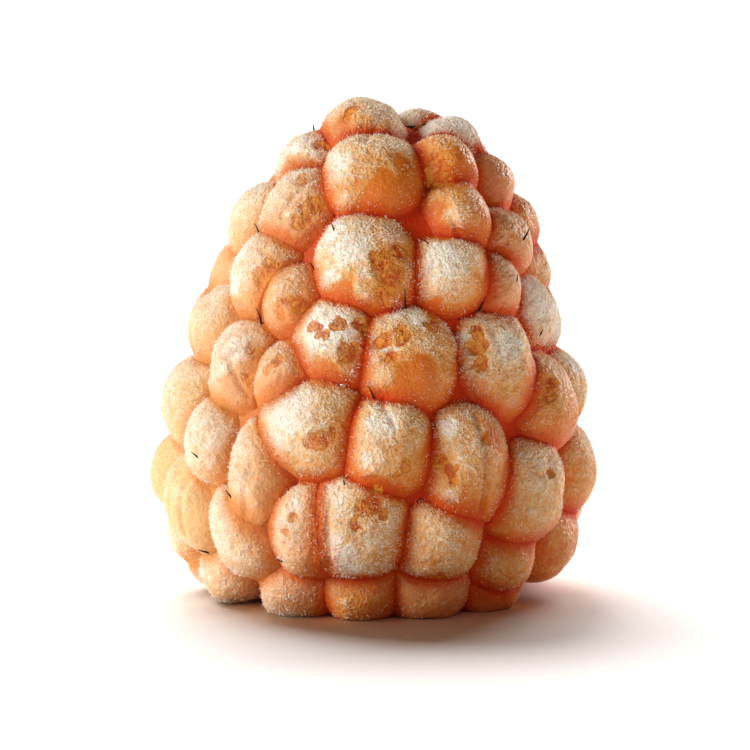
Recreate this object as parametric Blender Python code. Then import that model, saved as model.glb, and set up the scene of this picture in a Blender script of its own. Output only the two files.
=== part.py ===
"""A raspberry as picked: drupelets grown together into a hollow thimble that stands on its open end,
with a withered style left on many of them. Metres, +Z up, the origin on the ground under its middle."""

import math

import bmesh
import bpy
import numpy
from mathutils import Matrix, Vector
from mathutils.bvhtree import BVHTree

MM = 0.001

# The rings of drupelet centres, from the mouth to the tip, in millimetres: heights and radii.
RING_HEIGHTS = (0.0, 3.0, 6.0, 9.6, 13.2, 18.0, 20.9, 22.5)
RING_RADII = (6.2, 8.15, 8.9, 8.5, 7.2, 5.6, 3.3, 0.3)
STEEPEST = math.radians(68)  # how far a drupelet at the tip is turned up

# The tip leans to +X by this much, over this stretch of the height.
LEAN = 0.7
LEAN_HEIGHTS = (11.0, 20.0)

# A drupelet's reach out of its ring and in towards the hollow.
REACH_OUT = 2.0
REACH_IN = 3.5

# Drupelets of the front: bearing round from -Y in degrees, then height, width and length in mm.
FRONT = (
    (-72, 22.1, 4.5, 3.6), (148, 21.5, 3.0, 3.0), (90, 21.2, 3.0, 3.1),
    (-80, 20.4, 3.3, 3.3), (-12, 20.5, 4.3, 3.9), (48, 20.9, 3.0, 3.3), (84, 19.6, 3.0, 3.2),
    (-92, 18.0, 3.3, 3.6), (-53, 19.2, 3.3, 3.6), (38, 19.0, 2.9, 3.3), (64, 17.3, 2.8, 3.2),
    (102, 17.7, 3.2, 3.4), (-8, 16.9, 4.5, 4.7), (-55, 15.9, 3.7, 4.3), (30, 16.4, 3.7, 3.6),
    (50, 15.5, 2.6, 3.3), (100, 15.6, 3.3, 3.5), (-36, 15.0, 2.8, 3.0), (70, 14.0, 3.0, 3.5),
    (-104, 13.0, 3.6, 3.7), (-78, 13.1, 3.4, 3.9), (-16, 13.2, 3.7, 4.6), (11, 12.6, 4.3, 4.8),
    (46, 12.1, 4.0, 5.2), (94, 13.3, 3.3, 3.8), (-50, 11.8, 3.4, 4.3), (-30, 11.5, 2.9, 3.4),
    (-102, 9.4, 3.7, 3.6), (-76, 9.6, 3.4, 4.0), (66, 10.1, 3.4, 4.2), (98, 9.8, 3.6, 3.8),
    (-20, 9.5, 4.5, 4.8), (4, 8.8, 3.9, 4.4), (29, 7.8, 4.0, 5.4), (-56, 8.3, 3.0, 3.9),
    (-35, 7.1, 3.2, 5.2), (-92, 6.0, 3.7, 4.1), (-70, 5.1, 3.5, 4.6), (54, 6.0, 3.6, 4.9),
    (86, 6.3, 3.8, 4.3), (-95, 3.2, 3.4, 3.2), (-44, 4.2, 3.6, 4.3), (-21, 4.8, 3.4, 4.6),
    (-5, 4.9, 4.4, 4.7), (21, 4.3, 3.8, 3.8), (48, 2.8, 3.2, 3.2), (82, 2.8, 3.7, 4.1),
    (-94, 1.4, 3.3, 2.9), (-66, 1.4, 3.4, 2.9), (-31, 1.5, 3.6, 3.2), (-6, 1.4, 3.3, 3.0),
    (20, 1.4, 3.7, 3.1), (50, 1.3, 3.7, 2.9),
)

# Rows round the back: height, first and last bearing, and how many drupelets.
BACK = (
    (1.6, 112, 240, 6), (4.6, 106, 244, 6), (7.9, 115, 237, 6), (11.4, 120, 233, 5),
    (14.9, 124, 234, 4), (18.0, 130, 232, 4), (20.2, 128, 236, 3),
)
BACK_WIDTH = 4.1
BACK_LENGTH = 4.3
BACK_UNEVENNESS = 0.25

# The hollow left by the core: heights and radii, from below the mouth up to its blind end.
HOLLOW = ((-1.0, 4.3), (0.6, 4.3), (5.0, 4.7), (10.5, 4.0), (14.5, 2.7), (17.0, 1.3), (18.0, 0.0))
HOLLOW_SIDES = 32
FLESH_BELOW_RINGS = 0.8  # the flesh between the drupelets lies this far inside their centres
FLESH_BOTTOM = 1.2
MESH_SIZE = 0.3
FLESH_TRIANGLES = 7200

# Styles that can be seen from the front: bearing and height of the root, and sideways lean.
STYLES = (
    (-76, 16.6, -0.2), (-62, 18.6, -0.3), (-22, 18.7, -0.4), (-30, 17.0, -0.3), (-49, 14.2, 0.0),
    (10, 15.2, -0.1), (20, 18.3, -0.2), (41, 14.9, -0.2), (0, 11.0, -0.3), (-10, 6.9, 0.0),
    (17, 6.2, -0.2), (-84, 7.7, 0.0), (-62, 6.5, -0.2), (-68, 3.0, -0.2), (-36, 3.3, 0.1),
    (60, 22.1, 0.0), (88, 18.9, 0.2), (64, 15.6, 0.1), (80, 12.0, 0.1), (30, 4.4, 0.0),
)
BACK_STYLE_ROWS = ((20.6, 3), (17.0, 4), (13.2, 4), (9.6, 5), (6.2, 5))
STYLE_LENGTH = 0.95
STYLE_RADIUS = 0.06
STYLE_POINTS = 7
STYLE_GAP = 0.03
STYLE_BEND = 0.35


def clear_scene():
    for thing in list(bpy.data.objects):
        bpy.data.objects.remove(thing)


def finish(name, colour, roughness):
    made = bpy.data.materials.new(name)
    made.use_nodes = True
    shader = made.node_tree.nodes["Principled BSDF"]
    shader.inputs["Base Color"].default_value = (*colour, 1)
    shader.inputs["Roughness"].default_value = roughness
    shader.inputs["Metallic"].default_value = 0.0
    return made


def new_object(name, data):
    made = bpy.data.objects.new(name, data)
    bpy.context.collection.objects.link(made)
    return made


def ring_radius(height):
    return float(numpy.interp(height, RING_HEIGHTS, RING_RADII))


def axis_point(height):
    """The middle of the berry at this height, which moves to +X where the tip leans."""
    low, high = LEAN_HEIGHTS
    share = min(max((height - low) / (high - low), 0.0), 1.0)
    return Vector((LEAN * share * share * (3 - 2 * share), 0, height))


def directions(bearing, height):
    """Outward, sideways and up along the berry's surface at this bearing and height."""
    shrink = ring_radius(height - REACH_OUT / 3) - ring_radius(height + REACH_OUT / 3)
    tilt = min(math.atan2(shrink, 2 * REACH_OUT / 3), STEEPEST)
    sin, cos = math.sin(math.radians(bearing)), math.cos(math.radians(bearing))
    outward = Vector((sin * math.cos(tilt), -cos * math.cos(tilt), math.sin(tilt)))
    sideways = Vector((cos, sin, 0))
    return outward, sideways, outward.cross(sideways) * -1


def ring_point(bearing, height):
    angle = math.radians(bearing)
    return axis_point(height) + ring_radius(height) * Vector((math.sin(angle), -math.cos(angle), 0))


def drupelets():
    """Every drupelet as bearing, height, width and length."""
    yield from FRONT
    for height, first, last, count in BACK:
        for i in range(count):
            rise = BACK_UNEVENNESS * math.sin(5 * i + height)
            yield first + (last - first) * i / (count - 1), height + rise, BACK_WIDTH, BACK_LENGTH


def add_drupelet(mesh, bearing, height, width, length):
    """An egg shape, long on the inner side, where it grows together with the others."""
    outward, sideways, upward = directions(bearing, height)
    ball = bmesh.ops.create_icosphere(mesh, subdivisions=3, radius=1)["verts"]
    for vert in ball:
        x, y, z = vert.co
        reach = REACH_OUT if x > 0 else REACH_IN
        offset = outward * x * reach + sideways * y * width / 2 + upward * z * length / 2
        vert.co = (ring_point(bearing, height) + offset) * MM


def add_turned(mesh, outline):
    """A solid of revolution from (height, radius) points, upright on the berry's leaning axis."""
    rings = []
    for height, radius in outline:
        turn = Matrix.Translation(axis_point(height) * MM)
        circle = bmesh.ops.create_circle(
            mesh, segments=HOLLOW_SIDES, radius=max(radius, 0.01) * MM, matrix=turn
        )
        rings.append(circle["verts"])
    for low, high in zip(rings, rings[1:]):
        for i in range(HOLLOW_SIDES):
            j = (i + 1) % HOLLOW_SIDES
            mesh.faces.new((low[i], low[j], high[j], high[i]))
    mesh.faces.new(reversed(rings[0]))
    mesh.faces.new(rings[-1])


def make_cutter(name, mesh):
    data = bpy.data.meshes.new(name)
    mesh.to_mesh(data)
    mesh.free()
    cutter = new_object(name, data)
    cutter.hide_render = True
    cutter.display_type = "WIRE"
    return cutter


def make_hollow():
    mesh = bmesh.new()
    add_turned(mesh, HOLLOW)
    return make_cutter("hollow", mesh)


def make_ground():
    """All that is below the ground, where the soft drupelets are pressed flat."""
    mesh = bmesh.new()
    depth = 6.0
    spread = Matrix.Diagonal((40 * MM, 40 * MM, depth * MM, 1))
    bmesh.ops.create_cube(mesh, size=1, matrix=Matrix.Translation((0, 0, -depth / 2 * MM)) @ spread)
    return make_cutter("ground", mesh)


def apply_modifiers(thing):
    graph = bpy.context.evaluated_depsgraph_get()
    data = bpy.data.meshes.new_from_object(thing.evaluated_get(graph))
    thing.modifiers.clear()
    thing.data = data


def make_fruit(flesh):
    """The drupelets and the flesh between them as one skin, then the hollow and the flat foot."""
    mesh = bmesh.new()
    for drupelet in drupelets():
        add_drupelet(mesh, *drupelet)
    heights = [FLESH_BOTTOM] + [h for h in RING_HEIGHTS if 0 < h < RING_HEIGHTS[-1]]
    add_turned(mesh, [(h, ring_radius(h) - FLESH_BELOW_RINGS) for h in heights])
    data = bpy.data.meshes.new("drupelets")
    mesh.to_mesh(data)
    mesh.free()
    fruit = new_object("drupelets", data)
    joined = fruit.modifiers.new("joined", "REMESH")
    joined.mode = "VOXEL"
    joined.voxel_size = MESH_SIZE * MM
    apply_modifiers(fruit)
    thinned = fruit.modifiers.new("thinned", "DECIMATE")
    thinned.ratio = FLESH_TRIANGLES / (2 * len(fruit.data.polygons))
    apply_modifiers(fruit)
    for cutter in (make_hollow(), make_ground()):
        cut = fruit.modifiers.new(cutter.name, "BOOLEAN")
        cut.operation = "DIFFERENCE"
        cut.object = cutter
    apply_modifiers(fruit)
    fruit.data.materials.clear()
    fruit.data.materials.append(flesh)
    fruit.data.shade_smooth()
    return fruit


def style_roots():
    """Bearing, height and sideways lean of every style."""
    yield from STYLES
    for height, count in BACK_STYLE_ROWS:
        for i in range(count):
            yield 115 + (130 * (i + 0.5 * (count % 2) + 0.25)) / count, height, 0.3 * math.sin(4 * i)


def add_style(number, skin, dry, bearing, height, lean):
    """A dried thread that rises from the skin and bends over a little."""
    outward, sideways, _ = directions(bearing, height)
    start = ring_point(bearing, height) + 6 * outward
    root, _, _, _ = skin.ray_cast(start * MM, -outward)
    data = bpy.data.curves.new(f"style_{number:02d}", "CURVE")
    data.dimensions = "3D"
    data.bevel_depth = STYLE_RADIUS * MM
    data.bevel_resolution = 1
    data.use_fill_caps = True
    line = data.splines.new("POLY")
    line.points.add(STYLE_POINTS - 1)
    up = Vector((0, 0, 1))
    for i, point in enumerate(line.points):
        share = i / (STYLE_POINTS - 1)
        along = outward * (0.55 - STYLE_BEND * share) + up * 0.85 + sideways * lean * (1 + share)
        reach = STYLE_GAP + STYLE_LENGTH * share
        point.co = (*(root + along * reach * MM), 1)
        point.radius = 1 - 0.5 * share
    style = new_object(f"style_{number:02d}", data)
    data.materials.append(dry)
    return style


def main():
    clear_scene()
    flesh = finish("flesh", (0.80, 0.42, 0.20), 0.45)
    dry = finish("dry_style", (0.10, 0.05, 0.03), 0.7)
    fruit = make_fruit(flesh)
    skin = BVHTree.FromObject(fruit, bpy.context.evaluated_depsgraph_get())
    for number, root in enumerate(style_roots(), 1):
        add_style(number, skin, dry, *root)


main()
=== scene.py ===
import math

import bmesh
import bpy
import numpy as np
from mathutils import Matrix, Vector, noise


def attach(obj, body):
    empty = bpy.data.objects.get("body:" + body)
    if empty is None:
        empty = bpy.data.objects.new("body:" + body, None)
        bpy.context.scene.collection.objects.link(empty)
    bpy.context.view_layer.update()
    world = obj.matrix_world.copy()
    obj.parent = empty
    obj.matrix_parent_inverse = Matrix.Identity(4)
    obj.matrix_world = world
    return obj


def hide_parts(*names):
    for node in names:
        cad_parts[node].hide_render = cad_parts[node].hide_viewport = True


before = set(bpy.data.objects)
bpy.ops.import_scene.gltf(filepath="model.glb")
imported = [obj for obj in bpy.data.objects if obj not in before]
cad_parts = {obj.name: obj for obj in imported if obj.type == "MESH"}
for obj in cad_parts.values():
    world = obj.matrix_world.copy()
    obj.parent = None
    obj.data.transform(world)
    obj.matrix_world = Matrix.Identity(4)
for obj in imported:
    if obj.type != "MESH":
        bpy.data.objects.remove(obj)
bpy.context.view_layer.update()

# ---------------------------------------------------------------------------------------------
# The drupelets: plump little fruits of orange flesh in a thin, downy skin, each round one seed. They
# grow pressed against each other in uneven rings, and the soft sides flatten where they meet.
# ---------------------------------------------------------------------------------------------
MM = 0.001
# The rings that the drupelets' middles sit on, from the mouth to the tip, in mm.
RING_HEIGHTS = (0.0, 3.0, 6.0, 9.6, 13.2, 18.0, 20.9, 22.5)
RING_RADII = (5.3, 7.85, 8.6, 8.2, 6.9, 5.3, 3.05, 0.2)
STEEPEST = math.radians(68)  # the most that a drupelet at the tip turns up
OVERHANG = math.radians(-18)  # the most that a drupelet at the foot turns down
LEAN = 0.7  # the tip leans to +X by this much, over these heights
LEAN_HEIGHTS = (11.0, 20.0)
REACH_OUT = 2.15  # how far a drupelet reaches out of its ring, and in towards the hollow
REACH_IN = 3.5
FLATTER_TIP = 0.3  # how much less one that faces up reaches out

# Bearing round from -Y in degrees, height, width and length in mm, then how far the skin has turned
# from yellow (-1) to pink (1), and how thick its white bloom is (0 for none, 1 for a full cover).
FRONT = (
    (-82, 21.9, 4.5, 3.6, 0.3, 0.85), (150, 21.2, 2.9, 3.0, 0.4, 1.3), (92, 21.1, 3.0, 2.9, 0.2, 1.4),
    (-80, 20.3, 3.3, 3.3, 0.1, 1.25), (-12, 20.3, 4.3, 4.2, 0.0, 0.6), (46, 20.5, 3.0, 3.2, 0.0, 0.15),
    (84, 19.5, 3.0, 3.2, 0.6, 0.2), (-92, 17.6, 3.4, 3.9, -0.4, 0.9), (-53, 18.6, 3.7, 4.1, 0.4, 0.85),
    (38, 18.5, 2.9, 3.3, 0.0, 0.25), (65, 17.0, 3.3, 3.2, 0.5, 0.35), (106, 17.3, 3.9, 3.3, 0.3, 0.1),
    (-8, 16.4, 4.4, 4.6, 0.0, 0.6), (-55, 15.6, 3.7, 4.3, 0.0, 0.7), (30, 16.0, 3.7, 3.6, 0.0, 0.55),
    (50, 15.2, 2.6, 3.3, 0.6, 0.5), (104, 15.2, 4.2, 3.4, 0.3, 0.35), (-35, 14.7, 3.0, 3.3, 0.3, 0.55),
    (71, 13.7, 3.6, 3.6, 0.3, 1.4), (-104, 12.7, 3.6, 3.7, -0.3, 1.0), (-78, 12.8, 3.4, 3.9, -0.4, 0.7),
    (-15, 12.9, 3.6, 4.4, 0.0, 0.9), (11, 12.2, 4.3, 4.7, 0.0, 0.65), (46, 11.8, 4.0, 5.2, -0.1, 0.65),
    (105, 12.9, 4.6, 3.7, 0.1, 1.45), (-50, 11.5, 3.4, 4.3, 0.3, 0.6), (-30, 11.2, 2.9, 3.4, 0.4, 0.5),
    (-102, 9.1, 3.9, 3.8, -0.6, 0.5), (-77, 9.3, 3.6, 4.1, -0.5, 0.8), (66, 9.7, 4.5, 4.5, 0.0, 0.3),
    (101, 9.5, 4.3, 3.9, 0.0, 0.65), (-20, 9.2, 4.5, 4.8, 0.0, 0.85), (4, 8.4, 3.9, 4.4, 0.0, 0.6),
    (29, 7.4, 4.0, 5.4, 0.0, 0.45), (-56, 8.0, 3.0, 3.9, 0.0, 0.95), (-35, 6.8, 3.2, 5.2, 0.2, 0.6),
    (-92, 5.7, 3.7, 4.1, -0.7, 0.3), (-70, 4.8, 3.5, 4.6, -0.8, 0.35), (52, 5.7, 4.6, 4.8, 0.0, 0.55),
    (86, 6.0, 4.3, 4.4, 0.0, 0.35), (-95, 3.0, 3.4, 3.2, -0.3, 1.25), (-43, 4.2, 3.8, 4.6, 0.2, 0.7),
    (-21, 4.6, 3.4, 4.6, 0.3, 0.8), (-6, 4.7, 4.6, 4.7, -0.1, 0.9), (21, 4.1, 3.8, 3.8, 0.0, 0.6),
    (48, 2.8, 3.2, 3.2, 0.0, 0.3), (81, 2.9, 4.0, 4.0, 0.0, 0.1), (-94, 1.8, 3.3, 2.9, -0.1, 1.9),
    (-66, 1.7, 3.4, 3.0, 0.2, 0.8), (-30, 1.6, 3.6, 3.3, 0.5, 0.55), (-5, 1.5, 3.4, 3.1, 0.1, 0.3),
    (21, 1.5, 3.7, 3.2, 0.4, 0.15), (50, 1.4, 3.7, 3.0, 0.2, 0.0),
)
# Rows round the back: height, first and last bearing, and how many drupelets.
BACK = (
    (1.6, 119, 240, 6), (4.6, 106, 244, 6), (7.9, 115, 241, 6), (11.4, 120, 239, 5),
    (14.9, 124, 254, 5), (18.0, 130, 232, 4), (20.2, 128, 236, 3),
)
BACK_WIDTH = 4.1
BACK_LENGTH = 4.3
BACK_UNEVENNESS = 0.25
BACK_BLUSH = 0.5  # how far their colour varies either way
BACK_BLOOM = 0.5
BACK_BLOOM_RANGE = 0.3

# Places on the skin, each a bearing, a height and a radius in mm: worn spots where the flesh shows through,
# white patches, partly thick bloom and partly painted highlights, and bare ones.
WORN = (
    (-4, 16.8, 0.45), (0, 16.5, 0.8), (5, 17.0, 0.45), (3, 15.9, 0.75), (2, 15.3, 0.55), (-45, 16.2, 0.45),
    (-46, 15.5, 0.5), (-28, 14.5, 0.5), (-31, 14.5, 0.35), (-33, 14.0, 0.35), (-19, 13.5, 0.34),
    (-16, 13.1, 0.33), (-12, 13.6, 0.42), (-6, 13.6, 0.36), (-9, 12.3, 0.5), (2, 13.0, 0.5), (8, 13.1, 0.5),
    (18, 13.7, 0.42), (5, 12.1, 0.5), (36, 13.2, 0.4), (35, 12.5, 0.45), (34, 11.7, 0.45), (57, 9.9, 0.5),
    (58, 10.3, 0.45), (-16, 8.7, 0.42), (-14, 8.8, 0.4), (-11, 9.0, 0.35), (8, 7.7, 0.35), (6, 7.3, 0.2),
    (18, 7.7, 0.36), (20, 7.2, 0.42), (19, 7.4, 0.36), (21, 6.8, 0.25), (51, 6.6, 0.28), (-1, 6.0, 0.75),
    (2, 5.6, 0.35), (-4, 5.4, 0.4), (-22, 5.6, 0.3), (-24, 5.1, 0.25), (-30, 11.7, 0.32), (-32, 11.3, 0.3),
    (-50, 23.3, 0.45), (-61, 20.9, 0.4), (29, 20.3, 0.6), (30, 19.8, 0.5), (-45, 19.3, 0.45),
    (-40, 17.9, 0.35), (-38, 18.3, 0.4), (-35, 18.7, 0.35), (-41, 10.8, 0.35), (-42, 12.4, 0.3),
    (20, 2.8, 0.4), (88, 6.5, 0.5), (80, 3.0, 0.5), (135, 11.7, 0.8), (170, 7.7, 0.7), (200, 15.7, 0.8),
    (225, 4.7, 0.7), (150, 3.8, 0.6), (185, 19.4, 0.7), (245, 10.2, 0.6),
)
WHITE_AND_HIGHLIGHTS = (
    (-22, 17.7, 0.9), (-14, 16.9, 1.1), (-9, 17.4, 0.7), (-18, 15.7, 0.8), (-7, 15.1, 0.5), (-6, 15.9, 0.4),
    (-28, 20.1, 1.0), (-22, 18.7, 0.7), (30, 18.0, 1.0), (20, 16.3, 1.7), (-14, 13.3, 1.4), (6, 14.4, 0.6),
    (14, 14.1, 0.6), (-3, 13.1, 0.5), (-4, 12.1, 0.6), (3, 12.5, 0.25), (7, 12.5, 0.25), (30, 12.9, 0.6),
    (31, 11.7, 0.5), (45, 12.3, 0.9), (-46, 12.1, 0.7), (-48, 11.1, 0.5), (-24, 9.9, 1.3), (-27, 8.5, 0.9),
    (2, 9.5, 0.9), (0, 7.9, 0.7), (22, 9.3, 0.6), (21, 6.3, 0.5), (-12, 4.7, 0.8), (-6, 3.3, 0.8),
    (-12, 3.7, 0.7), (-9, 3.5, 0.9), (-7, 4.3, 0.5),
    (-62, 16.6, 0.8), (-58, 14.9, 0.7), (96, 14.3, 0.9), (100, 16.3, 0.8), (94, 5.9, 0.9),
    (96, 10.3, 0.7), (100, 21.5, 0.8), (150, 13.7, 1.3), (180, 10.7, 1.4), (210, 6.7, 1.2),
    (230, 13.7, 1.2), (160, 18.7, 1.0), (200, 2.4, 1.0),
)
BARE = (
    (9, 19.1, 1.1), (-2, 19.3, 0.9), (10, 20.3, 0.7), (22, 18.5, 0.6), (23, 17.7, 0.7), (-14, 15.1, 0.6),
    (20, 14.4, 0.6), (-15, 11.3, 0.8), (12, 11.2, 1.2), (-50, 21.5, 0.5), (-58, 13.9, 0.7),
    (-46, 10.5, 0.6), (34, 8.7, 0.7), (60, 3.8, 0.8), (75, 8.3, 0.8), (2, 6.7, 0.5), (28, 5.5, 0.8),
    (64, 19.5, 0.9), (-76, 8.1, 0.7), (-66, 20.1, 0.6), (-25, 10.6, 0.5),
)
# Creases, where the skin has folded: bearing and height of each end, width and depth in mm.
CREASES = (
    ((30, 9.9), (30, 5.3), 0.14, 0.30), ((-40, 12.6), (-49, 11.6), 0.14, 0.14),
    ((-48, 11.7), (-41, 10.2), 0.14, 0.12),
    ((-33, 7.7), (-36, 5.3), 0.2, 0.10), ((40, 13.7), (41, 10.1), 0.16, 0.12),
    ((-2, 12.7), (8, 12.5), 0.14, 0.18), ((-67, 6.7), (-72, 3.4), 0.16, 0.12),
    ((-63, 6.3), (-66, 3.6), 0.14, 0.10), ((-62, 10.1), (-58, 6.5), 0.2, 0.18),
    ((26, 18.6), (32, 17.3), 0.14, 0.14),
    ((53, 7.3), (52, 4.7), 0.2, 0.05), ((-40, 19.7), (-48, 17.9), 0.14, 0.14),
    ((-82, 14.1), (-76, 11.5), 0.16, 0.10),
    ((4, 22.5), (-20, 21.1), 0.2, 0.12), ((2, 10.3), (6, 9.1), 0.14, 0.14),
    ((-12, 6.3), (-12, 3.2), 0.16, 0.14), ((160, 9.7), (164, 6.1), 0.18, 0.15),
    ((205, 13.1), (209, 9.5), 0.18, 0.15), ((228, 18.1), (222, 15.3), 0.18, 0.15),
    ((140, 5.5), (146, 3.2), 0.18, 0.15),
)


def ring_radius(height):
    return float(np.interp(height, RING_HEIGHTS, RING_RADII))


def smoothstep(values):
    share = np.clip(values, 0, 1)
    return share * share * (3 - 2 * share)


def lean(heights):
    """How far the berry's middle has shifted to +X at these heights."""
    low, high = LEAN_HEIGHTS
    return LEAN * smoothstep((np.asarray(heights) - low) / (high - low))


def directions(bearing, height):
    """Outward, sideways and upward along the berry's surface, as the rows of a matrix."""
    shrink = ring_radius(height - REACH_OUT / 3) - ring_radius(height + REACH_OUT / 3)
    tilt = max(min(math.atan2(shrink, 2 * REACH_OUT / 3), STEEPEST), OVERHANG)
    sin, cos = math.sin(math.radians(bearing)), math.cos(math.radians(bearing))
    outward = np.array((sin * math.cos(tilt), -cos * math.cos(tilt), math.sin(tilt)))
    sideways = np.array((cos, sin, 0.0))
    return np.array((outward, sideways, np.cross(outward, sideways)))


def ring_point(bearing, height):
    angle = math.radians(bearing)
    radius = ring_radius(height)
    return np.array((lean(height) + radius * math.sin(angle), -radius * math.cos(angle), height))


SWOLLEN = 1.12  # a drupelet would be this much wider if nothing pressed on it
FULLNESS = 2.4  # its outline seen from outside: 2 is an ellipse, and more fills out the corners


class Drupelet:
    """One drupelet: where it sits, its half sizes, and its colouring."""

    def __init__(self, bearing, height, width, length, blush, bloom):
        self.bearing, self.height = bearing, height
        self.centre = ring_point(bearing, height)
        self.axes = directions(bearing, height)
        out = REACH_OUT - FLATTER_TIP * max(self.axes[0][2], 0)
        self.halves = np.array((out, SWOLLEN * width / 2, SWOLLEN * length / 2))
        self.blush, self.bloom = blush, bloom

    def radius(self, ways):
        """How far the free egg shape reaches along each of these unit vectors."""
        local = ways @ self.axes.T
        halves = np.where(local[:, :1] > 0, self.halves, self.halves * (REACH_IN / REACH_OUT, 1, 1))
        shares = np.abs(local / halves)
        across = np.sum(shares[:, 1:] ** FULLNESS, axis=1) ** (1 / FULLNESS)
        return 1 / np.hypot(shares[:, 0], across)

    def outside(self, places):
        """How far each place is outside the free egg shape, in mm."""
        off = places - self.centre
        away = np.maximum(np.linalg.norm(off, axis=1), 1e-6)
        return away - self.radius(off / away[:, None])


def all_drupelets():
    for row in FRONT:
        yield Drupelet(*row)
    for height, first, last, count in BACK:
        for i in range(count):
            rise = BACK_UNEVENNESS * math.sin(5 * i + height)
            blush = BACK_BLUSH * math.sin(3 * i + 2 * height)
            bloom = BACK_BLOOM + BACK_BLOOM_RANGE * math.sin(4 * i + 3 * height)
            bearing = first + (last - first) * i / (count - 1)
            yield Drupelet(bearing, height + rise, BACK_WIDTH, BACK_LENGTH, blush, bloom)


drupelets = list(all_drupelets())
WALL_OUT = 0.45  # how far the flesh between the drupelets reaches past their middles
FILLET = 0.16  # how softly the skin rounds from one drupelet into the next
OVERLAP = 0.15  # how far a drupelet runs on past its neighbour's face, under its skin
TOUCHING = 6.5  # drupelets can touch when their middles are nearer than this
SWELLING = 1.25  # the most that a drupelet reaches, as a share of its free egg shape
HALVINGS = 12  # how often the search for the skin halves its step
CROWDED = 0.5  # draws the mesh's points together on the outer dome
LUMPS = ((0.42, 0.14), (1.0, 0.07))  # waves per mm, and height in mm
CRUMBS = ((2.2, 0.035), (4.2, 0.022))
CRUMB_SEED = 7.0
STRAY_SEED = 7  # without it the ends of patches would change with the clock
STRAY = ((0.9, 0.3), (2.4, 0.12))  # how unevenly patches end: waves per mm, and width in mm
OVER_RING = 0.2  # a patch or a crease shows only this far or more outside the ring
WORN_DEPTH = 0.07
# How far the groove reaches from where drupelets meet, in mm: it is painted deep orange-red there, painted
# shade and painted glow of light through the flesh.
GROOVE_WIDTH = 0.58
SHADE_NARROWER_ABOVE = 0.45  # how much narrower the groove and its painted shade are along a drupelet's upper edge, so that more shade is painted under each drupelet
CRUST_HEIGHT = 0.05  # how far the bloom stands on the skin
# How much thicker or thinner the bloom is everywhere, on top, to one side and in the grooves. The bloom is
# real, but its lean to the top and one side of each drupelet, where the light falls, and away from the
# underside and grooves, where shade falls, is painted light and shade.
CRUST_ALL, TOP_LIGHT_CRUST, SIDE_SHADE_CRUST, GROOVE_SHADE_CRUST = 0.03, 0.23, 0.24, 0.6
WHITE_CRUST = 0.6  # how much thicker it is in white patches, which are partly painted highlights, and thinner in bare ones
BARE_CRUST = 0.8
LIT_SIDE = 8.5  # the skin is painted palest this far to -X, where the window light falls, and deeper orange from there on towards the shaded side: painted light and shade
LIGHT_TO_SHADE = 8.5


def wall_outside(places):
    """How far each place is outside the flesh between the drupelets, in mm."""
    heights = places[:, 2]
    across = np.hypot(places[:, 0] - lean(heights), places[:, 1])
    radii = np.interp(heights, RING_HEIGHTS, RING_RADII)
    slopes = (np.interp(heights - 0.5, RING_HEIGHTS, RING_RADII)
              - np.interp(heights + 0.5, RING_HEIGHTS, RING_RADII))
    above = np.maximum(heights - RING_HEIGHTS[-1], 0.0)
    return (across - radii - WALL_OUT) / np.hypot(1, slopes) + above


def skin_height(places, own, others):
    """How far places are outside the skin, and how far inside the edge of their own drupelet.

    The skin rounds softly from one drupelet into the next. own is a drupelet, or None for the
    flesh between them.
    """
    between = wall_outside(places)
    mine = between if own is None else own.outside(places)
    rest = [other.outside(places) for other in others if other is not own]
    if own is not None:
        rest.append(between)
    nearest = np.min(rest, axis=0)
    lowest = np.minimum(nearest, mine)
    total = np.exp((lowest - mine) / FILLET) + sum(np.exp((lowest - one) / FILLET) for one in rest)
    return lowest - FILLET * np.log(total) + 0.5 * np.maximum(mine - nearest, 0), nearest - mine


def reach_of_skin(starts, ways, far, own, others):
    """Walks out from each start along its way to the skin, but no further than far."""
    near = np.zeros(len(ways))
    far = far.copy()
    outermost = skin_height(starts + ways * far[:, None], own, others)[0] <= 0
    limit = far.copy()
    for _ in range(HALVINGS):
        middle = (near + far) / 2
        inside = skin_height(starts + ways * middle[:, None], own, others)[0] <= 0
        near = np.where(inside, middle, near)
        far = np.where(inside, far, middle)
    return np.where(outermost, limit, near)


def crowd_outward(ways):
    """Unit vectors moved towards +X, with the small triangles kept even."""
    side = np.linalg.norm(ways[:, 1:], axis=1)
    slope = CROWDED * side / np.maximum(1 + ways[:, 0], 1e-6)
    turned = np.empty_like(ways)
    turned[:, 0] = (1 - slope**2) / (1 + slope**2)
    turned[:, 1:] = ways[:, 1:] / np.maximum(side, 1e-9)[:, None] * (2 * slope / (1 + slope**2))[:, None]
    return turned


def press(drupelet, ways):
    """How far the drupelet reaches each way, between its neighbours and the ground."""
    neighbours = [other for other in drupelets
                  if 0 < np.linalg.norm(other.centre - drupelet.centre) < TOUCHING]
    limit = SWELLING * drupelet.radius(ways)
    for other in neighbours:
        between = other.centre - drupelet.centre
        gap = np.linalg.norm(between)
        facing = between / gap
        mine = drupelet.radius(facing[None])[0]
        theirs = other.radius(-facing[None])[0]
        wall = gap * mine / (mine + theirs) + OVERLAP
        limit = np.minimum(limit, wall / np.maximum(ways @ facing, 1e-3))
    starts = np.tile(drupelet.centre, (len(ways), 1))
    reach = reach_of_skin(starts, ways, limit, drupelet, neighbours)
    down = np.maximum(-ways[:, 2], 1e-3)
    reach = np.minimum(reach, drupelet.centre[2] / down)
    places = drupelet.centre + ways * reach[:, None]
    inner = skin_height(places, drupelet, neighbours)[1]
    return reach, inner


def patch_share(places, patches):
    """1 at the middle of the nearest patch, 0 at its edge, and down to -1 beyond it."""
    share = np.full(len(places), -1.0)
    for bearing, height, radius in patches:
        outward = directions(bearing, height)[0]
        off = places - ring_point(bearing, height)
        along = off @ outward
        across = np.linalg.norm(off - along[:, None] * outward, axis=1)
        share = np.maximum(share, np.where(along > OVER_RING, 1 - across / radius, -1.0))
    return share


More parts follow.
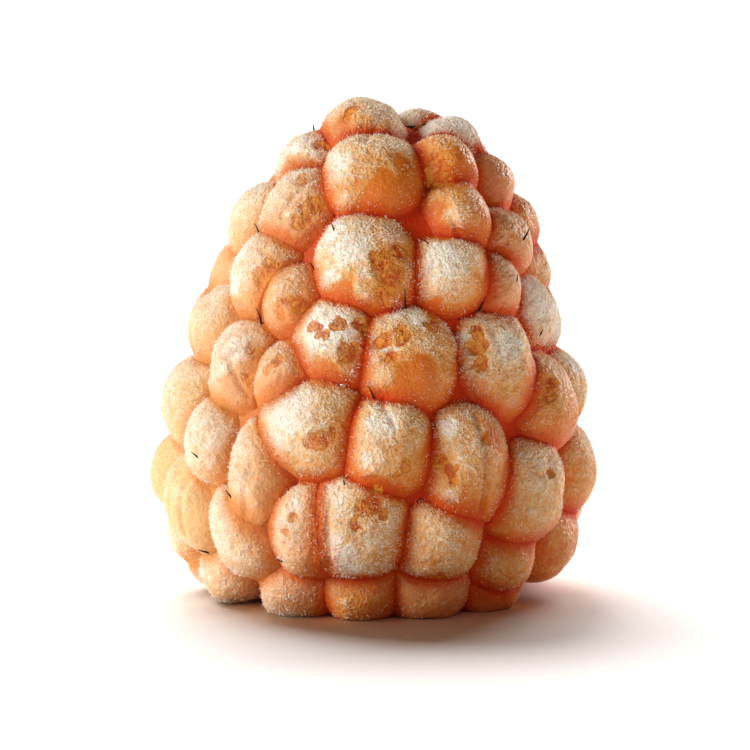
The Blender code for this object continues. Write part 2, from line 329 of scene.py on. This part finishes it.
def crease_depth(places):
    """How far folds in the skin sink it, in mm."""
    depth = np.zeros(len(places))
    for start, end, width, sunk in CREASES:
        middle = directions(*start)[0] + directions(*end)[0]
        outward = middle / np.linalg.norm(middle)
        first = ring_point(*start)
        line = ring_point(*end) - first
        line -= outward * (line @ outward)
        off = places - first
        along = np.clip(off @ line / (line @ line), 0, 1)
        apart = off - along[:, None] * line
        height = apart @ outward
        across = np.linalg.norm(apart - height[:, None] * outward, axis=1)
        depth = np.maximum(depth, sunk * np.exp(-(across / width) ** 2) * (height > OVER_RING))
    return depth


def waves(places, layers, seed=0.0):
    """Smooth uneven waves, each layer so many to the mm and so high."""
    shift = Vector((seed, -seed, 2 * seed))
    total = np.zeros(len(places))
    for scale, height in layers:
        total += height * np.array([noise.noise(Vector(place) * scale + shift) for place in places])
    return total


noise.seed_set(STRAY_SEED)


def wander(places, scale):
    """A smooth uneven shift for each place, up to 1 mm or so."""
    return np.array([noise.noise_vector(Vector(place) * scale) for place in places])


def shade_side_share(places):
    """0 on the -X side, where the window light falls and the skin is painted pale, and 1 where it is
    painted deep orange on the shaded side: painted light and shade.
    """
    return smoothstep((places[:, 0] + LIT_SIDE) / LIGHT_TO_SHADE)


def shape_drupelet(drupelet, ball):
    """Moves a unit ball's points to the drupelet's skin, and returns what the skin shows at each."""
    ways = crowd_outward(ball) @ drupelet.axes
    reach, inner = press(drupelet, ways)
    places = drupelet.centre + ways * reach[:, None]
    facing = ways @ drupelet.axes[0]
    free = smoothstep(3 * facing + 0.3)
    up = ways @ drupelet.axes[2]
    groove = np.exp(-np.maximum(inner, 0) / (GROOVE_WIDTH * (1 - SHADE_NARROWER_ABOVE * up)))
    side = ways @ drupelet.axes[1]
    strayed = places
    for scale, width in STRAY:
        strayed = strayed + width * wander(places, scale)
    worn = patch_share(strayed, WORN)
    white_and_highlight = patch_share(strayed, WHITE_AND_HIGHLIGHTS)
    bare = patch_share(strayed, BARE)
    # Painted light and shade: the bloom is made thicker and whiter on top and to one side, and thinner and
    # more orange underneath and in the grooves.
    crust = drupelet.bloom + CRUST_ALL + TOP_LIGHT_CRUST * up - SIDE_SHADE_CRUST * side - GROOVE_SHADE_CRUST * groove
    # White patches: partly thick bloom, partly painted highlights.
    crust += WHITE_CRUST * smoothstep(white_and_highlight + 0.3) - BARE_CRUST * smoothstep(bare + 0.3)
    covered = smoothstep(1.6 * crust - 0.2)
    swell = waves(places, LUMPS) + waves(places, CRUMBS, CRUMB_SEED) * covered
    swell += CRUST_HEIGHT * covered
    swell -= WORN_DEPTH * smoothstep(3 * worn + 0.3) + crease_depth(places)
    places = drupelet.centre + ways * (reach + swell * free)[:, None]
    places[:, 2] = np.maximum(places[:, 2], 0.0)
    return places, {"groove": groove, "crust": crust, "worn": worn, "ripe": shade_side_share(places)}


def skin_piece(name, members, material):
    """One mesh of separate closed drupelets, with the skin's colouring as attributes."""
    skin = bmesh.new()
    notes = {"groove": [], "crust": [], "worn": [], "ripe": [], "blush": []}
    for drupelet in members:
        points = bmesh.ops.create_icosphere(skin, subdivisions=5, radius=1)["verts"]
        ball = np.array([point.co for point in points])
        places, shown = shape_drupelet(drupelet, ball)
        for point, place in zip(points, places):
            point.co = place * MM
        shown["blush"] = np.full(len(ball), drupelet.blush)
        for note, values in shown.items():
            notes[note].append(values)
    data = bpy.data.meshes.new(name)
    skin.to_mesh(data)
    skin.free()
    for note, parts in notes.items():
        attribute = data.attributes.new(note, "FLOAT", "POINT")
        attribute.data.foreach_set("value", np.concatenate(parts).astype(np.float32))
    data.shade_smooth()
    data.materials.append(material)
    piece = bpy.data.objects.new(name, data)
    bpy.context.scene.collection.objects.link(piece)
    return piece


class Wire:
    """A socket of a material's nodes. Arithmetic on it adds Math nodes."""

    def __init__(self, tree, socket=None):
        self.tree, self.socket = tree, socket

    def node(self, kind, settings=(), values=(), out=0):
        """Adds a node: its settings first, then a value or a link for each socket."""
        made = self.tree.nodes.new(kind)
        for name, value in dict(settings).items():
            if name == "stops":
                for stop in range(len(made.color_ramp.elements), len(value)):
                    made.color_ramp.elements.new(1.0)
                for element, (place, colour) in zip(made.color_ramp.elements, value):
                    element.position, element.color = place, colour
            else:
                setattr(made, name, value)
        for key, value in dict(values).items():
            if isinstance(value, Wire):
                self.tree.links.new(value.socket, made.inputs[key])
            else:
                made.inputs[key].default_value = value
        return Wire(self.tree, made.outputs[out] if made.outputs else None)

    def math(self, operation, *values):
        return self.node("ShaderNodeMath", {"operation": operation}, dict(enumerate(values)))

    def __add__(self, other):
        return self.math("ADD", self, other)

    __radd__ = __add__

    def __sub__(self, other):
        return self.math("SUBTRACT", self, other)

    def __rsub__(self, other):
        return self.math("SUBTRACT", other, self)

    def __mul__(self, other):
        return self.math("MULTIPLY", self, other)

    __rmul__ = __mul__

    def ramp(self, low, high):
        """0 below low, 1 above high, and smooth between."""
        return self.node("ShaderNodeMapRange", {"interpolation_type": "SMOOTHSTEP"},
                         {0: self, 1: low, 2: high, 3: 0.0, 4: 1.0})

    def mix(self, first, second):
        """The first colour where this is 0 and the second where it is 1."""
        return self.node("ShaderNodeMix", {"data_type": "RGBA"}, {0: self, 6: first, 7: second}, 2)

    def note(self, name):
        return self.node("ShaderNodeAttribute", {"attribute_name": name}, out=2)

    def noise(self, place, scale, detail=2.0, rough=0.5, twist=0.0):
        return self.node("ShaderNodeTexNoise", {},
                         {"Vector": place, "Scale": scale, "Detail": detail, "Roughness": rough,
                          "Distortion": twist})


def new_material(name):
    made = bpy.data.materials.new(name)
    made.use_nodes = True
    made.node_tree.nodes.clear()
    return made, Wire(made.node_tree)


# Colours of the skin: flesh under thin to thick bloom, paler flesh and bloom painted on the -X side where
# the window light falls (painted light), and flesh turned pink or yellow.
BLOOM_COLOURS = (
    (0.0, (0.66, 0.18, 0.018, 1)), (0.25, (0.74, 0.31, 0.07, 1)), (0.5, (0.81, 0.45, 0.18, 1)),
    (0.75, (0.87, 0.62, 0.36, 1)), (1.0, (0.93, 0.85, 0.72, 1)),
)
LIT_SIDE_FLESH, LIT_SIDE_BLOOM = (0.76, 0.50, 0.26, 1), (0.92, 0.82, 0.69, 1)
PINK_FLESH, YELLOW_FLESH = (0.86, 0.50, 0.36, 1), (0.82, 0.60, 0.28, 1)
# Painted shade and glow in the grooves: orange on the lit side, deep red on the shaded side, and darker red
# in the seams.
GROOVE_SHADE_LIT_SIDE, GROOVE_SHADE_DARK_SIDE, SEAM_SHADE = (0.66, 0.27, 0.07, 1), (0.60, 0.085, 0.002, 1), (0.55, 0.018, 0.0, 1)
DARK_PITH, LIGHT_PITH = (0.50, 0.07, 0.003, 1), (0.72, 0.27, 0.03, 1)
# Painted shade and painted glints: brown in the low pits of the bloom's relief, near-white on its high
# points.
PIT_SHADE, GLINT_WHITE = (0.42, 0.15, 0.035, 1), (0.98, 0.90, 0.78, 1)
# How fine the uneven layers of the bloom are, in waves per metre.
CLOUDS, BLOTS, CRUMB_GRAINS, FINE_GRAINS = 450.0, 1500.0, 3400.0, 7000.0
SKIN_RELIEF = 0.26 * MM


def skin_material():
    made, start = new_material("downy_skin")
    place = start.node("ShaderNodeTexCoord", out=3)
    groove, crust = start.note("groove"), start.note("crust")
    worn, blush, ripe = start.note("worn"), start.note("blush"), start.note("ripe")
    cloud = start.noise(place, CLOUDS, 3.0, 0.6) - 0.5
    blot = start.noise(place, BLOTS, 3.0, 0.65, 0.3) - 0.5
    crumb = start.noise(place, CRUMB_GRAINS, 2.0, 0.6) - 0.5
    grain = start.noise(place, FINE_GRAINS, 1.0, 0.6) - 0.5

    thickness_and_light = crust * 0.74 + 0.05 + cloud * 0.7 + blot * 1.1 + crumb * 0.55 - groove * 0.2
    rugged = thickness_and_light.ramp(0.02, 0.85) * (0.35 + ripe * 0.65)
    bloom = start.node("ShaderNodeValToRGB", {"stops": BLOOM_COLOURS}, {0: thickness_and_light})
    # Painted light: towards -X, where the window light falls, the flesh and bloom are painted paler.
    lit_tone = (thickness_and_light + cloud * 0.6).ramp(0.15, 0.95).mix(LIT_SIDE_FLESH, LIT_SIDE_BLOOM)
    lit_side_colour = ((1.0 - ripe) * 0.65).mix(bloom, lit_tone)
    pinked = (blush.ramp(0.0, 1.0) * 0.45).mix(lit_side_colour, PINK_FLESH)
    colour = ((0.0 - blush).ramp(0.0, 1.0) * 0.65).mix(pinked, YELLOW_FLESH)
    # Painted shade and glow: the grooves are painted deep orange-red, and their seams darker red on the
    # shaded side.
    groove_shade_colour = ripe.mix(GROOVE_SHADE_LIT_SIDE, GROOVE_SHADE_DARK_SIDE)
    edge = groove + crumb * 0.4 + blot * 0.3
    colour = edge.ramp(0.15, 0.7).mix(colour, groove_shade_colour)
    seam_shade = edge.ramp(0.65, 1.0) * ripe * 0.75
    colour = seam_shade.mix(colour, SEAM_SHADE)
    hole = (worn + cloud * 0.8 + blot * 2.2 + crumb * 1.4).ramp(0.0, 0.22)
    pith = (crumb + blot + 0.5).ramp(0.35, 0.65).mix(DARK_PITH, LIGHT_PITH)
    colour = (hole * (0.5 + ripe * 0.45)).mix(colour, pith)
    # Painted shade: brown where the bloom's relief sinks into pits.
    pit_shade = (grain + crumb * 0.6).ramp(-0.15, -0.27) * (1.0 - groove) * (0.3 + rugged * 0.7)
    colour = (pit_shade * 0.5).mix(colour, PIT_SHADE)
    # Painted glints: near-white specks on the bloom's high points.
    glint_speck = (grain + crumb * 0.7).ramp(0.1, 0.24) * (0.05 + rugged * 0.95) * (1.0 - hole) * (1.0 - groove)
    colour = (glint_speck * 0.85).mix(colour, GLINT_WHITE)

    height = rugged * 0.35 + (crumb + grain * 0.5) * (0.3 + rugged * 0.7) - hole * ripe * 0.2
    relief = start.node("ShaderNodeBump", {}, {"Strength": 1.0, "Distance": SKIN_RELIEF, "Height": height})
    rough = 0.32 + rugged * 0.25 + crumb * 0.3 + groove * ripe * 0.4
    shader = start.node(
        "ShaderNodeBsdfPrincipled",
        {"subsurface_method": "RANDOM_WALK"},
        {"Base Color": colour, "Roughness": rough, "Normal": relief, "Subsurface Weight": 0.4,
         "Subsurface Radius": (1.0, 0.36, 0.12), "Subsurface Scale": 0.5 * MM, "IOR": 1.4,
         "Specular IOR Level": 0.3},
    )
    start.node("ShaderNodeOutputMaterial", {}, {0: shader})
    return made


skin = skin_material()
ROWS = (
    ("drupelets_foot", 0.0, 2.2), ("drupelets_lower", 2.2, 5.4), ("drupelets_widest", 5.4, 8.6),
    ("drupelets_middle", 8.6, 12.3), ("drupelets_upper", 12.3, 16.0), ("drupelets_shoulder", 16.0, 19.3),
    ("drupelets_tip", 19.3, 30.0),
)
rows = []
for name, low, high in ROWS:
    members = [drupelet for drupelet in drupelets if low <= drupelet.height < high]
    piece = skin_piece(name, members, skin)
    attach(piece, "root")
    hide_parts("drupelets")
    rows.append(piece)

# ---------------------------------------------------------------------------------------------
# The flesh behind the drupelets: where their inner ends grow together into one soft wall round the
# hollow that the core leaves when the berry is picked. It closes the corners between them.
# ---------------------------------------------------------------------------------------------
HOLLOW = (
    (0.6, 4.5), (2.8, 4.8), (5.0, 4.9), (7.8, 4.6), (10.5, 4.2), (12.5, 3.6), (14.5, 2.9), (16.0, 2.2),
    (17.0, 1.5), (17.6, 0.8), (18.0, 0.0),
)
WALL_BOTTOM = 0.8
WALL_CUTS = 90  # points up the wall's outside
WALL_SIDES = 200
WALL_LUMPS = 0.1  # height in mm of its lumps, and how many to the metre
LUMPS_PER_METRE = 1100
START_DEPTH = 0.6  # from how far inside the wall the search for the skin starts, and how far it goes
SEARCH_REACH = 2.5


def wall_profile():
    """From the axis at the top, down the outside, and up the hollow to the axis again."""
    top = RING_HEIGHTS[-1] + 0.2
    heights = np.linspace(WALL_BOTTOM + 0.5, top - 0.3, WALL_CUTS)[::-1]
    yield 0.0, top
    for height in heights:
        yield ring_radius(height) + WALL_OUT, height
    yield ring_radius(WALL_BOTTOM) - 0.2, WALL_BOTTOM
    yield HOLLOW[0][1] + 0.4, WALL_BOTTOM
    for height, radius in HOLLOW:
        if height > WALL_BOTTOM:
            yield radius, height


wall = bmesh.new()
rim = [wall.verts.new((radius * MM, 0, height * MM)) for radius, height in wall_profile()]
edges = [wall.edges.new(pair) for pair in zip(rim, rim[1:])]
bmesh.ops.spin(wall, geom=rim + edges, cent=(0, 0, 0), axis=(0, 0, 1), angle=math.tau, steps=WALL_SIDES,
               use_merge=True)
bmesh.ops.remove_doubles(wall, verts=wall.verts, dist=1e-7)
bmesh.ops.recalc_face_normals(wall, faces=wall.faces)
wall.normal_update()
outer = [point for point in wall.verts
         if math.hypot(point.co.x, point.co.y) / MM > ring_radius(point.co.z / MM) + WALL_OUT - 0.01]
for point in wall.verts:
    point.co.x += lean(point.co.z / MM) * MM
    point.co += point.normal * WALL_LUMPS * MM * noise.noise(point.co * LUMPS_PER_METRE)
starts = np.array([(point.co - point.normal * START_DEPTH * MM) / MM for point in outer])
ways = np.array([point.normal for point in outer])
reach = reach_of_skin(starts, ways, np.full(len(outer), SEARCH_REACH), None, drupelets)
for point, start, way, distance in zip(outer, starts, ways, reach):
    point.co = (start + way * distance) * MM
wall_data = bpy.data.meshes.new("inner_flesh")
wall.to_mesh(wall_data)
wall.free()
wall_data.shade_smooth()

wall_points = np.array([point.co for point in wall_data.vertices]) / MM
# This flesh lies deep between the drupelets, so all of it takes the grooves' painted shade and glow.
wall_notes = {
    "groove": np.full(len(wall_points), 1.1),
    "crust": np.full(len(wall_points), 0.0),
    "worn": np.full(len(wall_points), -1.0),
    "ripe": shade_side_share(wall_points),
    "blush": np.zeros(len(wall_points)),
}
for note, values in wall_notes.items():
    attribute = wall_data.attributes.new(note, "FLOAT", "POINT")
    attribute.data.foreach_set("value", values.astype(np.float32))
wall_data.materials.append(skin)
wall_piece = bpy.data.objects.new("inner_flesh", wall_data)
bpy.context.scene.collection.objects.link(wall_piece)
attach(wall_piece, "root")
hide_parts("drupelets")

# ---------------------------------------------------------------------------------------------
# The down: short pale hairs and grains of bloom that stand on the skin, thickest where the bloom
# lies thick and over the rounded edges. Each is a three-sided spike, rooted in the skin.
# ---------------------------------------------------------------------------------------------
DOUBLINGS = 15  # a piece has 2 to this power hairs
DOWN_PIECES = 3
TUFTS = 0.9  # waves of thick and thin down to the mm
HAIR_LENGTHS = (0.06, 0.20)
HAIR_RADII = (0.010, 0.018)
GRAIN_SHARE = 0.5
GRAIN_SIZE = 0.045
GRAIN_WIDTH = 0.6  # a grain's radius, as a share of its length
ROOT_DEPTH = 0.02
THIN_DOWN, THICK_DOWN = 0.16, 0.7  # how dense it is on bare skin, and how much more on bloom
LYING = (0.8, 2.0)  # how far hairs lie over, from standing out to lying on the skin
GRAIN_LYING = 0.4
SEED = 7


def skin_faces():
    """Corners, normals and notes of all the skin's triangles, each as one array."""
    corners, normals, notes = [], [], []
    for piece in rows:
        mesh = piece.data
        count = len(mesh.vertices)
        places, turned = np.empty(count * 3, np.float32), np.empty(count * 3, np.float32)
        mesh.vertices.foreach_get("co", places)
        mesh.vertices.foreach_get("normal", turned)
        faces = np.empty(len(mesh.polygons) * 3, np.int32)
        mesh.polygons.foreach_get("vertices", faces)
        faces = faces.reshape(-1, 3)
        shown = np.empty((count, 3), np.float32)
        for column, note in enumerate(("groove", "crust", "worn")):
            values = np.empty(count, np.float32)
            mesh.attributes[note].data.foreach_get("value", values)
            shown[:, column] = values
        corners.append(places.reshape(-1, 3)[faces] / MM)
        normals.append(turned.reshape(-1, 3)[faces])
        notes.append(shown[faces])
    return np.concatenate(corners), np.concatenate(normals), np.concatenate(notes)


def unit(vectors):
    return vectors / np.maximum(np.linalg.norm(vectors, axis=1), 1e-9)[:, None]


def scatter(count, random):
    """Picks hairs: where each is rooted, which way it points, its length and its thickness."""
    corners, normals, notes = skin_faces()
    sides = np.cross(corners[:, 1] - corners[:, 0], corners[:, 2] - corners[:, 0])
    areas = np.linalg.norm(sides, axis=1)
    groove, crust, worn = notes.mean(axis=1).T
    density = THIN_DOWN + THICK_DOWN * smoothstep(1.2 * crust - 0.1)
    density *= smoothstep((0.9 - groove) / 0.4) * (1 - 0.8 * smoothstep(3 * worn + 0.5))
    chances = areas * density
    tried = random.choice(len(areas), 2 * count, p=chances / chances.sum())
    tufts = np.array([noise.noise(Vector(place) * TUFTS) for place in corners[tried, 0]])
    picked = tried[np.argsort(-tufts + random.normal(0, 0.25, len(tried)))[:count]]
    shares = random.dirichlet((1, 1, 1), count)
    roots = np.einsum("ij,ijk->ik", shares, corners[picked])
    out = unit(np.einsum("ij,ijk->ik", shares, normals[picked]))
    loose = unit(random.normal(size=(count, 3)))
    grain = random.random(count) < GRAIN_SHARE
    lying = np.where(grain, GRAIN_LYING, random.uniform(*LYING, count))
    ways = unit(out + lying[:, None] * loose)
    lengths = random.uniform(*HAIR_LENGTHS, count) * (0.7 + 0.5 * smoothstep(1.5 * crust[picked]))
    radii = random.uniform(*HAIR_RADII, count)
    lengths = np.where(grain, GRAIN_SIZE * random.uniform(0.4, 1.4, count), lengths)
    radii = np.where(grain, lengths * GRAIN_WIDTH, radii)
    return roots - out * ROOT_DEPTH, ways, lengths + ROOT_DEPTH, radii


def down_piece(name, hairs, material):
    """One mesh of hairs, each a copy of the same spike."""
    roots, ways, lengths, radii = hairs
    down = bmesh.new()
    bmesh.ops.create_cone(down, cap_ends=True, segments=3, radius1=1, radius2=0, depth=1,
                          matrix=Matrix.Translation((0, 0, 0.5)))
    bmesh.ops.recalc_face_normals(down, faces=down.faces)
    number = down.verts.layers.int.new("number")
    for i, corner in enumerate(down.verts):
        corner[number] = i
    for _ in range(DOUBLINGS):
        made = len(down.verts)
        copied = bmesh.ops.duplicate(down, geom=down.verts[:] + down.edges[:] + down.faces[:])
        for corner in copied["geom"][:made]:
            corner[number] += made
    data = bpy.data.meshes.new(name)
    down.to_mesh(data)
    down.free()
    numbers = np.empty(len(data.vertices), np.int32)
    data.attributes["number"].data.foreach_get("value", numbers)
    data.attributes.remove(data.attributes["number"])
    spikes = np.empty(len(data.vertices) * 3)
    data.vertices.foreach_get("co", spikes)
    spikes = spikes.reshape(-1, 3)
    hair = numbers // 4
    sideways = unit(np.cross(ways, (0.31, 0.52, 0.8)))
    across = np.cross(ways, sideways)
    places = (roots[hair] + spikes[:, :1] * (sideways * radii[:, None])[hair]
              + spikes[:, 1:2] * (across * radii[:, None])[hair]
              + spikes[:, 2:] * (ways * lengths[:, None])[hair])
    places[:, 2] = np.maximum(places[:, 2], 0.0)
    data.vertices.foreach_set("co", (places * MM).astype(np.float32).ravel())
    data.update()
    data.materials.append(material)
    piece = bpy.data.objects.new(name, data)
    bpy.context.scene.collection.objects.link(piece)
    return piece


def down_material():
    made, start = new_material("pale_down")
    shader = start.node(
        "ShaderNodeBsdfPrincipled", {},
        {"Base Color": (0.98, 0.90, 0.76, 1), "Roughness": 0.3, "Specular IOR Level": 0.8},
    )
    start.node("ShaderNodeOutputMaterial", {}, {0: shader})
    return made


random = np.random.default_rng(SEED)
hairs = scatter(DOWN_PIECES * 2**DOUBLINGS, random)
pale_down = down_material()
for i in range(DOWN_PIECES):
    piece = down_piece(f"down_{i + 1}", [values[i::DOWN_PIECES] for values in hairs], pale_down)
    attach(piece, "root")
    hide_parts("drupelets")

# ---------------------------------------------------------------------------------------------
# The styles: the withered threads that fed each flower part, dried dark and left standing in the
# creases between the drupelets. Each is rooted in the skin and bends over towards its tip.
# ---------------------------------------------------------------------------------------------
# Bearing and height of the root, lean to one side in degrees, length in mm, and how far it bends.
STYLES = (
    (-74, 14.7, -30, 1.2, 0.8), (-61, 17.2, -20, 0.65, 0.2), (-21, 17.6, -22, 0.75, 0.2),
    (-27, 15.9, -20, 0.65, 0.2), (-45, 13.4, 0, 0.75, 0.1), (10, 14.4, -6, 0.95, 0.1),
    (19, 17.2, -26, 0.6, 0.2), (40, 14.1, -15, 0.65, 0.1), (0, 10.4, -20, 0.65, 0.2),
    (-8, 6.5, -5, 0.5, 0.1), (14, 5.8, -6, 0.5, 0.1), (-53, 7.2, -20, 0.4, 0.5), (-40, 5.9, -25, 0.6, 0.1),
    (-64, 2.8, 10, 0.5, 0.1), (-27, 3.3, -15, 0.4, 0.1), (125, 21.9, 10, 0.5, 0.2),
    (117, 21.7, -40, 0.5, 0.2), (61, 16.9, 30, 0.6, 0.1), (52, 15.0, -10, 0.45, 0.1),
    (65, 12.3, -10, 0.4, 0.1),
)
BACK_STYLE_ROWS = ((20.6, 3), (17.0, 4), (13.2, 4), (9.6, 5), (6.2, 5))
STYLE_RADIUS = 0.06
TIP_RADIUS = 0.018
STYLE_SIDES = 6
STYLE_CUTS = 5
ROOTED = 0.1  # how deep in the skin its root is
STANDING_OUT = 0.5  # how far its tip stands out over the skin, as a share of its length
MIDDLE_OUT = 0.2  # and how far its middle does
BENT_ASIDE, BENT_DOWN = 0.5, 0.2  # which way the tip bends
BACK_STYLE = (0.7, 0.3)  # length and bend of those round the back
BACK_STYLE_LEAN = 30
BACK_STYLE_START, BACK_STYLE_SPAN = 115, 130  # the bearings that they are spread over


def all_styles():
    yield from STYLES
    for height, count in BACK_STYLE_ROWS:
        for i in range(count):
            bearing = BACK_STYLE_START + BACK_STYLE_SPAN * (i + 0.5 * (count % 2) + 0.25) / count
            yield (bearing, height, BACK_STYLE_LEAN * math.sin(4 * i), *BACK_STYLE)


def add_style(threads, bearing, height, side_lean, length, bend):
    outward, sideways, upward = directions(bearing, height)
    side = math.radians(side_lean)
    leaning = upward * math.cos(side) + sideways * math.sin(side)
    ends = []
    for share, standing in zip((0, 0.5, 1), (-ROOTED, MIDDLE_OUT * length, STANDING_OUT * length)):
        start = ring_point(bearing, height) + share * length * leaning
        skin_near = (start + REACH_OUT * outward)[None]
        under = min(drupelets, key=lambda drupelet: drupelet.outside(skin_near)[0])
        reach = reach_of_skin(start[None], outward[None], np.full(1, 4.0), under, drupelets)
        ends.append(start + (reach[0] + standing) * outward)
    root, middle, tip = ends
    tip += bend * length * (BENT_ASIDE * sideways * math.copysign(1.0, side_lean) - BENT_DOWN * upward)
    across = np.cross(tip - root, outward)
    across /= np.linalg.norm(across)
    third = np.cross(tip - root, across)
    third /= np.linalg.norm(third)
    points = bmesh.ops.create_cone(threads, cap_ends=True, segments=STYLE_SIDES, radius1=STYLE_RADIUS,
                                   radius2=TIP_RADIUS, depth=1)["verts"]
    lines = {edge for point in points for edge in point.link_edges
             if abs(edge.verts[0].co.z - edge.verts[1].co.z) > 0.5}
    bmesh.ops.subdivide_edges(threads, edges=list(lines), cuts=STYLE_CUTS)
    for point in threads.verts:
        if point.tag:
            continue
        share = point.co.z + 0.5
        place = (root * (1 - share) * (1 - 2 * share) + middle * 4 * share * (1 - share)
                 + tip * share * (2 * share - 1))
        point.co = (place + across * point.co.x - third * point.co.y) * MM
        point.tag = True


def dry_material():
    made, start = new_material("dry_thread")
    place = start.node("ShaderNodeTexCoord", out=3)
    streak = start.noise(place, 6000.0, 2.0, 0.6)
    colour = streak.ramp(0.4, 0.65).mix((0.006, 0.003, 0.002, 1), (0.05, 0.02, 0.009, 1))
    relief = start.node("ShaderNodeBump", {}, {"Strength": 0.6, "Distance": 0.03 * MM, "Height": streak})
    shader = start.node(
        "ShaderNodeBsdfPrincipled", {},
        {"Base Color": colour, "Roughness": 0.7, "Normal": relief, "Specular IOR Level": 0.1},
    )
    start.node("ShaderNodeOutputMaterial", {}, {0: shader})
    return made


threads = bmesh.new()
for style in all_styles():
    add_style(threads, *style)
bmesh.ops.recalc_face_normals(threads, faces=threads.faces)
threads_data = bpy.data.meshes.new("dry_styles")
threads.to_mesh(threads_data)
threads.free()
threads_data.shade_smooth()
threads_data.materials.append(dry_material())
threads_piece = bpy.data.objects.new("dry_styles", threads_data)
bpy.context.scene.collection.objects.link(threads_piece)
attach(threads_piece, "root")
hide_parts(*[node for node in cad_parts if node.startswith("style_")])

# ---------------------------------------------------------------------------------------------
# The floor, the light and the camera: a pale sheet of paper, with two soft lights from behind that
# cast the berry's shadow to the front. The berry itself is lit by a broad window on the left, with
# weaker lights from behind and a warm fill. The camera stands a long way off, a little above it.
# ---------------------------------------------------------------------------------------------
sheet = bmesh.new()
bmesh.ops.create_grid(sheet, x_segments=1, y_segments=1, size=4.0)
sheet_data = bpy.data.meshes.new("floor")
sheet.to_mesh(sheet_data)
sheet.free()
floor = bpy.data.objects.new("floor", sheet_data)
bpy.context.scene.collection.objects.link(floor)
pale, pale_start = new_material("pale_floor")
pale_shader = pale_start.node("ShaderNodeBsdfPrincipled", {},
                              {"Base Color": (0.97, 0.95, 0.93, 1), "Roughness": 0.9})
pale_start.node("ShaderNodeOutputMaterial", {}, {0: pale_shader})
sheet_data.materials.append(pale)

# The floor's lights and the berry's are kept apart by light linking.
off_floor = bpy.data.collections.new("all_but_the_floor")
only_floor = bpy.data.collections.new("the_floor_alone")
for lit, state in ((off_floor, "EXCLUDE"), (only_floor, "INCLUDE")):
    lit.objects.link(floor)
    lit.collection_objects[0].light_linking.link_state = state


def add_sun(name, strength, spread, bearing, rise, lit, colour=(1, 1, 1)):
    """A soft light from so far round and so far up, in degrees, that falls only on what is lit."""
    lamp = bpy.data.lights.new(name, "SUN")
    lamp.energy, lamp.angle, lamp.color = strength, math.radians(spread), colour
    made = bpy.data.objects.new(name, lamp)
    bpy.context.scene.collection.objects.link(made)
    side, up = math.radians(bearing), math.radians(rise)
    towards = Vector((math.sin(side) * math.cos(up), -math.cos(side) * math.cos(up), math.sin(up)))
    made.rotation_euler = towards.to_track_quat("Z", "Y").to_euler()
    made.light_linking.receiver_collection = lit


add_sun("window", 3.15, 34, -70, 24, off_floor)
add_sun("behind", 0.8, 45, -150, 35, off_floor)
add_sun("rim", 1.95, 14, 138, 14, off_floor)
add_sun("fill", 0.26, 90, 30, 8, off_floor, (1, 0.62, 0.40))
add_sun("floor_left", 4.1, 45, -150, 45, only_floor)
add_sun("floor_right", 2.35, 45, 165, 35, only_floor)

world = bpy.data.worlds.new("bright_room")
world.use_nodes = True
ROOM_COLOUR, ROOM_STRENGTH = (1.0, 0.64, 0.42, 1), 0.11
world.node_tree.nodes["Background"].inputs["Color"].default_value = ROOM_COLOUR
world.node_tree.nodes["Background"].inputs["Strength"].default_value = ROOM_STRENGTH
bpy.context.scene.world = world
bpy.context.scene.view_settings.view_transform = "Standard"

lens = bpy.data.cameras.new("camera")
lens.lens, lens.sensor_width = 400, 36
lens.clip_start, lens.clip_end = 0.01, 10.0
camera = bpy.data.objects.new("camera", lens)
bpy.context.scene.collection.objects.link(camera)
FRAME_WIDTH = 36.0 * MM  # how much of the scene the picture is wide, at the berry
LOOK_DOWN = math.radians(9)
AIM = Vector((0.05 * MM, 0, 10.5 * MM))
away = FRAME_WIDTH * lens.lens / lens.sensor_width
camera.location = AIM + away * Vector((0, -math.cos(LOOK_DOWN), math.sin(LOOK_DOWN)))
camera.rotation_euler = (math.pi / 2 - LOOK_DOWN, 0, 0)
bpy.context.scene.camera = camera
